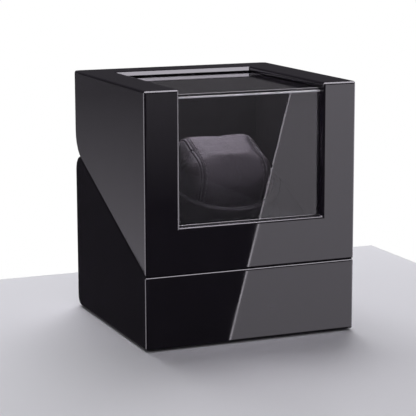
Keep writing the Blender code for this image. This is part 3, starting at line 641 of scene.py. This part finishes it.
ROCKER_LINE_HALF = (0.2 * MM, MARK_HALF_THICKNESS, 0.7 * MM)
ROCKER_LINE_SHARE = 0.6
ROCKER_DIP = 0.6 * MM


def painted_highlight_bead_material():
    """Acrylic cement coloured pale as a painted highlight: a smooth bead whose pale colour stands in for the light
    the pane joint catches.
    """
    material = new_material("pane_cement_painted_highlight", (0.77, 0.74, 0.79), 0.12, Coat_Weight=0.6, Coat_Roughness=0.05)
    ripple = noise_of(material, 350, detail=2)
    vary_colour(material, ripple, (0.68, 0.65, 0.70), (0.86, 0.83, 0.88))
    set_bump(material, ripple, 0.3, 0.00005)
    return material


def add_bead(name, y, z, radius, material):
    """A straight bead with round ends along the window's width."""
    start = Vector((-BEAD_HALF_LENGTH, y, z))
    end = Vector((BEAD_HALF_LENGTH, y, z))
    angles = [math.pi / 2 * i / BEAD_END_STEPS for i in range(1, BEAD_END_STEPS)]
    stations = [(start - SIDEWAYS * radius * math.cos(angle), radius * math.sin(angle)) for angle in angles]
    stations += [(start, radius), (end, radius)]
    stations += [(end + SIDEWAYS * radius * math.sin(angle), radius * math.cos(angle)) for angle in angles]
    across = SIDEWAYS.orthogonal().normalized()
    other = SIDEWAYS.cross(across)
    bm = bmesh.new()
    skin(bm, [circle(bm, centre, across, other, size, BEAD_SIDES) for centre, size in stations])
    attach(new_piece(name, bm, material), "lid")


def add_pane_beads(finishes):
    """The bright beads on the joint of the panes, on the top pane's front edge and on the sill; the joint bead is
    bright by a painted highlight in its pale colour, the other two by real gloss.
    """
    low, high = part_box("front_pane")
    top_low, top_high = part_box("top_pane")
    y = low[1] + BEAD_BEHIND_FACE
    joint_z = (high[2] + top_low[2]) / 2
    gloss = finishes["cup_gloss"]
    # Painted highlight: the joint bead's pale colour stands in for the light caught along the joint of the panes.
    add_bead("pane_bead_joint_painted_highlight", y, joint_z, BEAD_RADIUS, painted_highlight_bead_material())
    add_bead("pane_bead_edge", y + EDGE_BEAD_INSET, top_high[2] - EDGE_BEAD_INSET, EDGE_BEAD_RADIUS, gloss)
    add_bead("pane_bead_sill", y, WINDOW_SILL_Z + SILL_BEAD_RISE, BEAD_RADIUS, gloss)


def add_roof_trim(finishes):
    """The sloping gloss strip that fills the corner between the top pane and the roof behind it."""
    wall_y = WINDOW_REAR_Y - TRIM_OFF_WALL
    low_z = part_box("top_pane")[1][2] + TRIM_OVER_PANE
    high_z = low_z + TRIM_HEIGHT
    outline = ((wall_y, low_z), (wall_y - TRIM_FOOT, low_z), (wall_y - TRIM_LIP, high_z), (wall_y, high_z))
    bm = bmesh.new()
    ends = (-BEAD_HALF_LENGTH, BEAD_HALF_LENGTH)
    skin(bm, [[bm.verts.new((x, y, z)) for y, z in outline] for x in ends])
    trim = new_piece("roof_trim", bm, finishes["lacquer"])
    trim.data.shade_flat()
    attach(trim, "lid")


def add_bars(name, bars, finishes, body):
    """Printed marks: thin bars with rounded edges, each given as a placement and its half sizes."""
    bm = bmesh.new()
    for placement, half in bars:
        corners = bmesh.ops.create_cube(bm, size=2.0, matrix=Matrix.Diagonal((*half, 1)))["verts"]
        edges = list({edge for corner in corners for edge in corner.link_edges})
        rounding = min(half) * 0.5
        made = bmesh.ops.bevel(bm, geom=edges, offset=rounding, segments=2, profile=0.5, affect="EDGES")
        bmesh.ops.transform(bm, matrix=placement, verts=made["verts"])
    attach(new_piece(name, bm, finishes["marks"]), body)


def add_control_marks(finishes):
    """The ticks round the knob, the line in its groove, and the line on the rocker's upper end."""
    plate_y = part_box("control_plate")[1][1]
    low, high = (Vector(corner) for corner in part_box("program_knob"))
    middle = (low + high) / 2
    knob = Matrix.Translation((middle.x, plate_y, middle.z))
    ticks = []
    for i in range(TICK_COUNT):
        turn = Matrix.Rotation(TICK_SWEEP * (i / (TICK_COUNT - 1) - 0.5), 4, "Y")
        ticks.append((knob @ turn @ Matrix.Translation((0, 0, TICK_RADIUS)), TICK_HALF))
    add_bars("knob_ticks", ticks, finishes, "base")
    groove = Matrix.Translation((middle.x, high.y - POINTER_SUNK, middle.z + POINTER_UP))
    add_bars("knob_pointer", [(groove, POINTER_HALF)], finishes, "knob")

    low, high = (Vector(corner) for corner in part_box("switch_rocker"))
    middle = (low + high) / 2
    reach = high.z - middle.z
    y = high.y - ROCKER_DIP * (1 - ROCKER_LINE_SHARE)
    at = Matrix.Translation((middle.x, y, middle.z + reach * ROCKER_LINE_SHARE))
    slope = Matrix.Rotation(-math.atan2(ROCKER_DIP, reach), 4, "X")
    add_bars("rocker_mark", [(at @ slope, ROCKER_LINE_HALF)], finishes, "rocker")


# The studio ------------------------------------------------------------------------------------------

FRONT_Y = LOW.y
CARD_AWAY = 30.0
DOME_RADIUS = 50.0
TINT = (1.0, 0.95, 1.05)
TABLE_REAR_Y = 143 * MM
TABLE_RIGHT_X = 183.5 * MM
TABLE_REACH = 4.0
# Where the slanting reflection crosses the front face, at its top and its foot.
SLANT_TOP = Vector((23.6 * MM, FRONT_Y, 138.8 * MM))
SLANT_FOOT = Vector((-13.4 * MM, FRONT_Y, 0.5 * MM))
SLANT_EDGE_WIDTH = Vector((36 * MM, 0, 0))
SHADE_FROM_Z = 80 * MM
# The cards' reach, and how far they run past the face's corners as shares of its height and depth.
CARD_REACH = 0.4 * CARD_AWAY
CARD_RISE = 0.22 * CARD_AWAY
PAST_TOP = 0.35
PAST_FOOT = 0.2
PAST_SIDE = 0.6
# The cards' strengths at the foot and at the top.
FRONT_STRENGTHS = (1.7, 2.3)
SLANT_STRENGTHS = (6.0, 7.0)
SHADE_STRENGTHS = (0.06, 0.5)
SIDE_STRENGTHS = (0.51, 0.14)
# Where the split meets the left side, at the front and at the rear.
SPLIT_FRONT_Z = 41.3 * MM
SPLIT_REAR_Z = 96.1 * MM
OVERHEAD_LOW = Vector((-5.0, -5.2, 4.0))
OVERHEAD_HIGH = Vector((5.5, 1.0, 4.0))
OVERHEAD_STRENGTH = 9.0
# Upright boxes: a name, the middle and half the run in plan, and a strength, which falls towards the foot.
UPRIGHT_BOXES = (
    ("left_box", Vector((-3.9, 1.4, 0)), Vector((0.9, 1.2, 0)), 4.2),
    ("right_box", Vector((3.6, 1.1, 0)), Vector((0.8, -1.9, 0)), 2.6),
    ("right_front_box", Vector((3.6, -2.0, 0)), Vector((-0.6, -1.1, 0)), 5.0),
)
UPRIGHT_BOTTOM = Vector((0, 0, -2.4))
UPRIGHT_TOP = Vector((0, 0, 1.2))
UPRIGHT_SHARES = (0.6, 1.1)
DOME_LEVELS = ((-8.0, 0.03), (25.0, 0.07))
WORLD_LIGHT = 0.2
# Area lights: a name, a place, what it faces, its side and its power.
AREA_LIGHTS = (
    ("key", (0.25, 1.05, 1.4), (0, 0, 0.05), 1.3, 31),
    ("fill", (-0.5, -1.5, 1.3), (0, 0, 0.08), 1.2, 2.6),
)


def glowing(name, levels):
    """An emission material whose strength follows height: pairs of a height in metres and a strength."""
    material = bpy.data.materials.new(name)
    material.use_nodes = True
    tree = material.node_tree
    tree.nodes.clear()
    glow = tree.nodes.new("ShaderNodeEmission")
    glow.inputs["Color"].default_value = (*TINT, 1.0)
    where = add_node(material, "ShaderNodeTexCoord")
    height = add_node(material, "ShaderNodeSeparateXYZ", {"Vector": where.outputs["Object"]}).outputs["Z"]
    low, high = levels
    tree.links.new(ramp(material, height, low[0], high[0], low[1], high[1]), glow.inputs["Strength"])
    end = tree.nodes.new("ShaderNodeOutputMaterial")
    tree.links.new(glow.outputs[0], end.inputs["Surface"])
    return material


def only_in_gloss(piece):
    """Marks a card that shows in reflections and nowhere else."""
    piece.visible_camera = False
    piece.visible_diffuse = False
    piece.visible_transmission = False
    piece.visible_volume_scatter = False
    piece.visible_shadow = False


def add_card(name, corners, levels):
    """A flat light card that shows only in reflections."""
    mesh = bpy.data.meshes.new(name)
    mesh.from_pydata([tuple(corner) for corner in corners], [], [tuple(range(len(corners)))])
    mesh.materials.append(glowing(name, levels))
    card = bpy.data.objects.new(name, mesh)
    bpy.context.scene.collection.objects.link(card)
    only_in_gloss(card)


def beyond(eye, point, y):
    """Where the line from an eye through a point reaches a y."""
    return eye + (point - eye) * ((y - eye.y) / (point.y - eye.y))


def add_front_card():
    """The softbox that greys the right of the front, with a brighter edge where the slanting line runs."""
    eye = Vector((CAMERA_AT.x, 2 * FRONT_Y - CAMERA_AT.y, CAMERA_AT.z))
    top = beyond(eye, SLANT_TOP, -CARD_AWAY)
    foot = beyond(eye, SLANT_FOOT, -CARD_AWAY)
    up = top + (top - foot) * PAST_TOP
    down = foot - (top - foot) * PAST_FOOT
    shade_z = beyond(eye, Vector((0, FRONT_Y, SHADE_FROM_Z)), -CARD_AWAY).z
    reach = Vector((CARD_REACH, 0, 0))
    edge = SLANT_EDGE_WIDTH
    lit = (down, down + reach, up + reach, up)
    bright = (down - edge, down, up, up - edge)
    shade = (down - edge - reach, down - edge, up - edge, up - edge - reach)
    add_card("front_card", lit, tuple(zip((foot.z, top.z), FRONT_STRENGTHS)))
    add_card("front_card_edge", bright, tuple(zip((foot.z, top.z), SLANT_STRENGTHS)))
    add_card("front_card_shade", shade, tuple(zip((shade_z, top.z), SHADE_STRENGTHS)))


def add_side_card():
    """The softbox that lights the lid's left side down to the split and leaves the base dark."""
    eye = Vector((2 * LOW.x - CAMERA_AT.x, CAMERA_AT.y, CAMERA_AT.z))
    front = beyond(eye, Vector((LOW.x, FRONT_Y, SPLIT_FRONT_Z)), CARD_AWAY)
    rear = beyond(eye, Vector((LOW.x, HIGH.y, SPLIT_REAR_Z)), CARD_AWAY)
    roof = beyond(eye, Vector((LOW.x, FRONT_Y, HIGH.z)), CARD_AWAY)
    slope = rear - front
    start = front - slope * PAST_SIDE
    end = rear + slope * PAST_SIDE
    rise = Vector((0, 0, CARD_RISE))
    corners = (start, end, end + rise, start + rise)
    add_card("side_card", corners, tuple(zip((front.z, roof.z), SIDE_STRENGTHS)))


def add_softboxes():
    """Broad softboxes that draw the thin bright lines along the rounded edges."""
    low, high = OVERHEAD_LOW, OVERHEAD_HIGH
    corners = (low, (high.x, low.y, low.z), high, (low.x, high.y, low.z))
    add_card("overhead", corners, ((0, OVERHEAD_STRENGTH), (low.z, OVERHEAD_STRENGTH)))
    low_share, high_share = UPRIGHT_SHARES
    for name, middle, half, strength in UPRIGHT_BOXES:
        near = middle - half
        far = middle + half
        corners = (near + UPRIGHT_BOTTOM, far + UPRIGHT_BOTTOM, far + UPRIGHT_TOP, near + UPRIGHT_TOP)
        levels = ((UPRIGHT_BOTTOM.z, strength * low_share), (UPRIGHT_TOP.z, strength * high_share))
        add_card(name, corners, levels)


def add_dome():
    """A dim dome behind the cards, so that the lacquer mirrors a dark studio."""
    bm = bmesh.new()
    bmesh.ops.create_uvsphere(bm, u_segments=48, v_segments=24, radius=DOME_RADIUS)
    mesh = bpy.data.meshes.new("dome")
    bm.to_mesh(mesh)
    bm.free()
    mesh.materials.append(glowing("dome", DOME_LEVELS))
    dome = bpy.data.objects.new("dome", mesh)
    bpy.context.scene.collection.objects.link(dome)
    only_in_gloss(dome)


def floor_material():
    """A plain pale table top."""
    material = new_material("floor", (0.70, 0.695, 0.74), 0.6, Specular_IOR_Level=0.0)
    cloud = noise_of(material, 3, detail=3)
    vary_colour(material, cloud, (0.68, 0.675, 0.72), (0.72, 0.715, 0.76))
    return material


def add_floor():
    """The pale table, whose far corner shows to the right of the box."""
    mesh = bpy.data.meshes.new("floor")
    corners = ((-TABLE_REACH, TABLE_REAR_Y, 0), (-TABLE_REACH, -TABLE_REACH, 0))
    corners += ((TABLE_RIGHT_X, -TABLE_REACH, 0), (TABLE_RIGHT_X, TABLE_REAR_Y, 0))
    mesh.from_pydata(corners, [], [(0, 1, 2, 3)])
    mesh.materials.append(floor_material())
    floor = bpy.data.objects.new("floor", mesh)
    bpy.context.scene.collection.objects.link(floor)
    floor.visible_glossy = False


def add_area_light(name, at, target, size, power):
    """A soft light that models the floor and the inside, and leaves the gloss to the cards."""
    data = bpy.data.lights.new(name, "AREA")
    data.shape = "SQUARE"
    data.size = size
    data.energy = power
    light = bpy.data.objects.new(name, data)
    light.location = at
    light.rotation_euler = (Vector(target) - Vector(at)).to_track_quat("-Z", "Y").to_euler()
    light.visible_glossy = False
    bpy.context.scene.collection.objects.link(light)


def add_world():
    """A white backdrop that gives only a little light of its own."""
    world = bpy.data.worlds.new("studio")
    world.use_nodes = True
    tree = world.node_tree
    background = tree.nodes["Background"]
    path = tree.nodes.new("ShaderNodeLightPath")
    level = tree.nodes.new("ShaderNodeMapRange")
    level.inputs["To Min"].default_value = WORLD_LIGHT
    level.inputs["To Max"].default_value = 1.0
    tree.links.new(path.outputs["Is Camera Ray"], level.inputs["Value"])
    tree.links.new(level.outputs["Result"], background.inputs["Strength"])
    background.inputs["Color"].default_value = (1.0, 1.0, 1.0, 1.0)
    bpy.context.scene.world = world
    bpy.context.scene.view_settings.view_transform = "Standard"


def add_studio():
    """Backdrop, floor, lights and reflection cards."""
    add_world()
    add_dome()
    add_front_card()
    add_side_card()
    add_softboxes()
    add_floor()
    for name, at, target, size, power in AREA_LIGHTS:
        add_area_light(name, at, target, size, power)


# The whole scene -------------------------------------------------------------------------------------

add_camera()
SMOOTHING = smoothing_group("smooth_rounded_faces", SHARP_DEGREES, LARGEST_SMOOTH_FACE)
FINISHES = make_finishes()
dress_nodes(FINISHES, SMOOTHING)
make_cushion(FINISHES)
add_pane_beads(FINISHES)
add_roof_trim(FINISHES)
add_control_marks(FINISHES)
add_studio()
